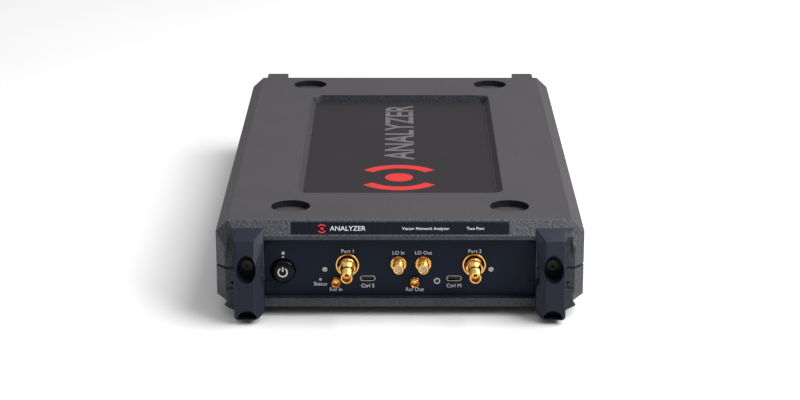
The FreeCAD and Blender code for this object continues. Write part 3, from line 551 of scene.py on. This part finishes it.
def emblem(name, place, axes, scale, slot):
    """Generic mark: a broken ring round a solid disc."""
    radius = scale * DISC_SHARE
    dot = [(radius * math.cos(turn), radius * math.sin(turn))
           for turn in (2 * math.pi * index / DISC_STEPS for index in range(DISC_STEPS))]
    flat_shape(name + "_dot", dot, place, axes, slot, RED_INK)
    for index, start in enumerate(ARC_STARTS):
        band = arc_band(scale * RING_SHARE, scale * BAND_SHARE, start, start + ARC_SPAN)
        flat_shape("%s_arc_%d" % (name, index + 1), band, place, axes, slot, RED_INK)


TOP_WORD = "ANALYZER"
TOP_WORD_SIZE = 27.0
TOP_EMBLEM_SIZE = 29.5
# how far back each stands on the plate, as a share of its depth
TOP_WORD_BACK = 0.66
TOP_EMBLEM_BACK = 0.19


def print_top_label():
    """Emblem near the front of the top plate and the word behind it, read from the right."""
    low = low_corner("top_label_plate")
    high = high_corner("top_label_plate")
    middle = (low + high) / 2
    surface = high.z + 0.01 * MM
    depth = high.y - low.y
    emblem_place = Vector((middle.x - 0.6 * MM, low.y + depth * TOP_EMBLEM_BACK, surface))
    emblem("top_emblem", emblem_place, (RIGHT, BACK), TOP_EMBLEM_SIZE, "label_sheet")
    word_place = Vector((middle.x + 0.7 * MM, low.y + depth * TOP_WORD_BACK, surface))
    printed("top_word", TOP_WORD, TOP_WORD_SIZE, word_place, "label_sheet", GREY_INK,
            turn=(0, 0, 90), bold=0.45)


def brow_axes():
    """Directions across and up the slanted front strip, from its own box."""
    low = low_corner("front_label_strip")
    high = high_corner("front_label_strip")
    up = Vector((0, high.y - low.y, high.z - low.z)).normalized()
    return RIGHT, up


STRIP_RAISE = 0.38
STRIP_EMBLEM_X = -45.5
STRIP_WORDS = (
    # piece, words, letter height, millimetres right of the middle
    ("strip_word", TOP_WORD, 4.2, -30.5),
    ("strip_kind", "Vector Network Analyzer", 2.6, 15),
    ("strip_ports", "Two Port", 2.6, 44),
)


def print_strip():
    """Emblem and words along the slanted strip on the brow."""
    low = low_corner("front_label_strip")
    high = high_corner("front_label_strip")
    across, up = brow_axes()
    out = across.cross(up)
    middle = Vector((0, (low.y + high.y) / 2, (low.z + high.z) / 2)) + out * STRIP_RAISE * MM
    tilt = math.degrees(math.atan2(up.z, up.y))
    emblem("strip_emblem", middle + across * STRIP_EMBLEM_X * MM, (across, up), 3.0, "label_strip")
    for name, words, size, right in STRIP_WORDS:
        place = middle + across * right * MM
        printed(name, words, size, place, "label_strip", WHITE_INK, turn=(tilt, 0, 0))


# ---------------------------------------------------------------- casing

BEZEL_LINE = low_corner("top_cover").y + 7.2 * MM
WINDOW_SKIN = 0.7 * MM
RECESS_DEEP = 5.2 * MM
RECESS_REACH = 90 * MM


def on_bezel(place, normal):
    """True on the grained front of the covers."""
    return place.y < BEZEL_LINE


def in_recess(place, normal):
    """True on the rear walls of the window and of the round stacking recesses, which take the painted
    shade.
    """
    inside = abs(place.x) < RECESS_REACH and place.y > BEZEL_LINE
    level = TOP_Z - RECESS_DEEP < place.z < TOP_Z - WINDOW_SKIN
    return inside and level and normal.y < -0.3 and abs(normal.z) < 0.8


def build_casing():
    """Covers with their grained front and recesses, posts, panel, labels and feet."""
    top = softened("top_cover", 0.7, segments=3)
    bottom = softened("bottom_cover", 0.7, segments=3)
    # darker painted shade on the recess walls that face the front
    repainted(top, "recess_plastic", in_recess)
    repainted(top, "bezel_plastic", on_bezel)
    repainted(bottom, "bezel_plastic", on_bezel)
    for side in ("left", "right"):
        softened("front_post_" + side, 0.6, segments=3)
        softened("rear_post_" + side, 0.6, segments=3)
    softened("front_panel", 0.15, segments=1)
    softened("panel_latches", 0.3)
    softened("top_label_plate", 0.15)
    softened("front_label_strip", 0.2)
    softened("feet", 0.5, segments=3)


# ---------------------------------------------------------------- connectors

def build_test_port(number):
    """Bright flange ring, stepped turned body and the threaded collar at its nose."""
    prefix = "port_%d_" % number
    base = on_panel(prefix + "flange")
    profile = [(7.0, 0.0), (7.0, 0.55), (6.75, 0.8), (6.15, 0.8), (5.9, 0.6), (5.9, 0.0)]
    flange = lathe(prefix + "flange_ring", profile, base, "gold", closed=True)
    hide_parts(prefix + "flange")
    softened(prefix + "body", 0.18, segments=2)
    collar = thread_tube(prefix + "collar_thread", base, inner=2.5, outer=3.5, start=14.6, end=23.7,
                         slot="gold", pitch=0.75, depth=0.34)
    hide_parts(prefix + "collar")


def build_lo_port(side):
    """Threaded barrel of a local oscillator jack."""
    node = "lo_%s_connector" % side
    base = on_panel(node)
    barrel = thread_tube("lo_%s_barrel" % side, base, inner=2.05, outer=3.175, start=-14.0, end=10.5,
                         slot="gold", pitch=0.7, depth=0.32)
    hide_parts(node)


def build_ref_port(side):
    """Open shell of a push-on reference jack, with its snap groove."""
    node = "ref_%s_connector" % side
    base = on_panel(node)
    profile = [
        (0.9, -9.0), (2.9, -9.0), (2.9, 1.1), (2.72, 1.3), (2.72, 1.8), (2.9, 2.0), (2.9, 2.9),
        (2.7, 3.35), (2.5, 3.5), (2.3, 3.35), (2.1, 2.9), (2.1, -1.1), (0.9, -1.1),
    ]
    shell = lathe("ref_%s_shell" % side, profile, base, "gold", closed=True)
    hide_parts(node)


def build_connectors():
    """Everything on the front panel but the button."""
    for number in (1, 2):
        build_test_port(number)
        softened("control_usb_%d_shell" % number, 0.08)
    for side in ("in", "out"):
        build_lo_port(side)
        build_ref_port(side)
    softened("lo_nuts", 0.22)
    softened("panel_screws", 0.12)
    softened("light_pipes", 0.1)
    softened("control_usb_tongues", 0.08)


DOME_FOOT = 1.5
DOME_RISE = 2.0
DOME_STEPS = 14
DOME_FULLNESS = 0.55
SYMBOL_RADIUS = 2.6
SYMBOL_LINE = 0.75
SYMBOL_GAP = (122, 418)


def build_button():
    """Domed gloss button with its printed power symbol; both ride on the button."""
    low = low_corner("power_button")
    base = Vector((centre("power_button").x, PANEL_Y, centre("power_button").z))
    radius = (high_corner("power_button").x - low.x) / 2 / MM
    profile = [(0.0, -4.0), (radius - 0.2, -4.0), (radius, -3.8), (radius, DOME_FOOT)]
    for index in range(1, DOME_STEPS):
        turn = math.pi / 2 * index / DOME_STEPS
        profile.append((radius * math.cos(turn) ** DOME_FULLNESS, DOME_FOOT + DOME_RISE * math.sin(turn)))
    profile.append((0.0, DOME_FOOT + DOME_RISE))
    cap = lathe("power_button_cap", profile, base, "button_gloss", body=BUTTON, angle=60.0)
    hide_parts("power_button")
    face = Vector((base.x, low.y - 0.02 * MM, base.z))
    arc = arc_band(SYMBOL_RADIUS, SYMBOL_LINE, *SYMBOL_GAP)
    stroke = [(-0.38, 0.4), (0.38, 0.4), (0.38, 3.3), (-0.38, 3.3)]
    ring = flat_shape("power_ring", arc, face, (RIGHT, UP), "button_gloss", WHITE_INK)
    bar = flat_shape("power_bar", stroke, face, (RIGHT, UP), "button_gloss", WHITE_INK)
    for mark in (ring, bar):
        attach(mark, BUTTON)


def build_rear():
    """Rounded edges on the rear panel's parts and on the cover screws."""
    softened("rear_panel", 0.2, segments=1)
    softened("trigger_jacks", 0.15)
    softened("power_inlet", 0.3)
    softened("ground_stud", 0.2)
    softened("fan_screws", 0.3)
    softened("fan_rotor", 0.15, segments=1)
    softened("cover_screws", 0.25)
    softened("host_usb_socket", 0.08)


# ---------------------------------------------------------------- stage

def area_light(name, place, aim, size, power):
    """Rectangular light at a place, turned to its aim; size in metres, power in watts."""
    lamp = bpy.data.lights.new(name, "AREA")
    lamp.shape = "RECTANGLE"
    lamp.size = size[0]
    lamp.size_y = size[1]
    lamp.energy = power
    item = bpy.data.objects.new(name, lamp)
    item.location = place
    item.rotation_euler = (Vector(aim) - Vector(place)).to_track_quat("-Z", "Y").to_euler()
    bpy.context.scene.collection.objects.link(item)


FLOOR_REACH = 6.0


def build_floor():
    """Plain pale floor under the object."""
    mesh = bpy.data.meshes.new("floor")
    corners = [(-FLOOR_REACH, -FLOOR_REACH, 0), (FLOOR_REACH, -FLOOR_REACH, 0),
               (FLOOR_REACH, FLOOR_REACH, 0), (-FLOOR_REACH, FLOOR_REACH, 0)]
    mesh.from_pydata(corners, [], [(0, 1, 2, 3)])
    floor = bpy.data.objects.new("floor", mesh)
    pale, tree, shader = new_material("pale_floor", Roughness=0.9, Specular_IOR_Level=0.1)
    tone = ramp(tree, noise(tree, 3.0), [(0.3, (0.72, 0.72, 0.72)), (0.7, (0.75, 0.75, 0.75))])
    tree.links.new(tone, shader.inputs["Base Color"])
    mesh.materials.append(pale)
    bpy.context.scene.collection.objects.link(floor)


SKY = (
    # share of the way from the horizon to overhead, colour
    (0.0, (0.24, 0.24, 0.25)),
    (0.4, (0.45, 0.45, 0.46)),
    (0.9, (1.0, 1.0, 1.0)),
)
SKY_STRENGTH = 0.95


def build_world():
    """Soft studio surround, bright overhead and dim near the horizon."""
    world = bpy.data.worlds.new("studio")
    world.use_nodes = True
    tree = world.node_tree
    direction = add(tree, "ShaderNodeTexCoord")
    parts = add(tree, "ShaderNodeSeparateXYZ")
    tree.links.new(direction.outputs["Generated"], parts.inputs["Vector"])
    sky = ramp(tree, parts.outputs["Z"], SKY)
    tree.links.new(sky, tree.nodes["Background"].inputs["Color"])
    tree.nodes["Background"].inputs["Strength"].default_value = SKY_STRENGTH
    bpy.context.scene.world = world


def build_lights():
    """Large key high on the right and a small fill in front of it."""
    area_light("key", (0.9, 0.0, 1.3), (0, 0, 0), (1.3, 1.3), 30.0)
    area_light("front_fill", (0.9, -0.9, 0.9), (0, -0.1, 0.03), (0.5, 0.5), 9.0)
    bpy.context.scene.view_settings.view_transform = "Standard"


LENS = 95.70
SENSOR_WIDTH = 36.0
CAMERA_PLACE = (0.0, -1.3461, 0.4409)
CAMERA_TILT = 72.566


def build_camera():
    """Long lens, looking down a little on the front."""
    lens = bpy.data.cameras.new("camera")
    lens.lens = LENS
    lens.sensor_width = SENSOR_WIDTH
    camera = bpy.data.objects.new("camera", lens)
    camera.location = CAMERA_PLACE
    camera.rotation_euler = (math.radians(CAMERA_TILT), 0.0, 0.0)
    bpy.context.scene.collection.objects.link(camera)
    bpy.context.scene.camera = camera


dress_frame()
build_casing()
build_connectors()
build_button()
build_rear()
print_panel()
print_top_label()
print_strip()
build_floor()
build_world()
build_lights()
build_camera()
